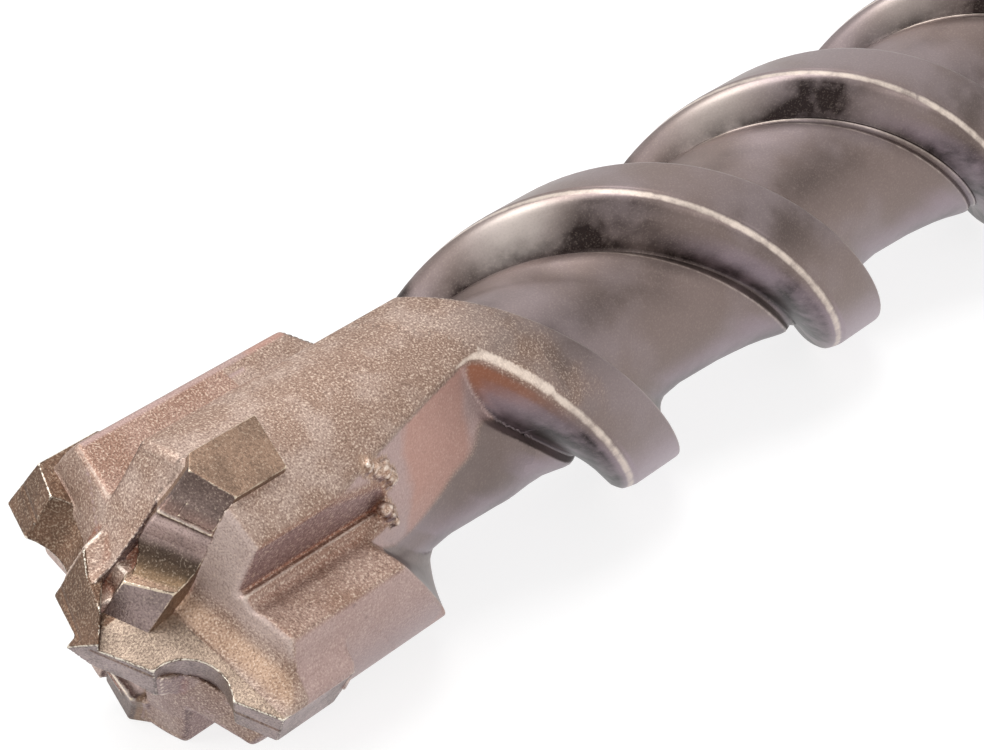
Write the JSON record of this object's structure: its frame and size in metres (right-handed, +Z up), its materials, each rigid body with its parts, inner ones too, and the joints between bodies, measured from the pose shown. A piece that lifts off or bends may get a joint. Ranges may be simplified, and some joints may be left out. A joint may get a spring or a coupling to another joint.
{
  "type": "hammer drill bit",
  "caption": "Masonry hammer drill bit with a cross-shaped carbide head, a wide spiral flute and a slotted quick-fit shank.",
  "frame": {"origin": "centre of the shank's end face", "axes": "+X along the bit's axis, out of the shank's end, so the point is at -X; +Z up, with the bit lying still on its lands"},
  "size_m": [0.21, 0.016, 0.015],
  "materials": {
    "blasted_steel": "sand-blasted and heat-tinted bronze at the head, smooth grey-brown on the flute",
    "main_carbide": "sand-blasted carbide, bronze brown",
    "side_carbide": "pressed carbide, darker and smoother brown"
  },
  "bodies": {
    "root": {"steel_body": "blasted_steel", "main_plate": "main_carbide", "side_plate_1": "side_carbide", "side_plate_2": "side_carbide"}
  },
  "joints": []
}
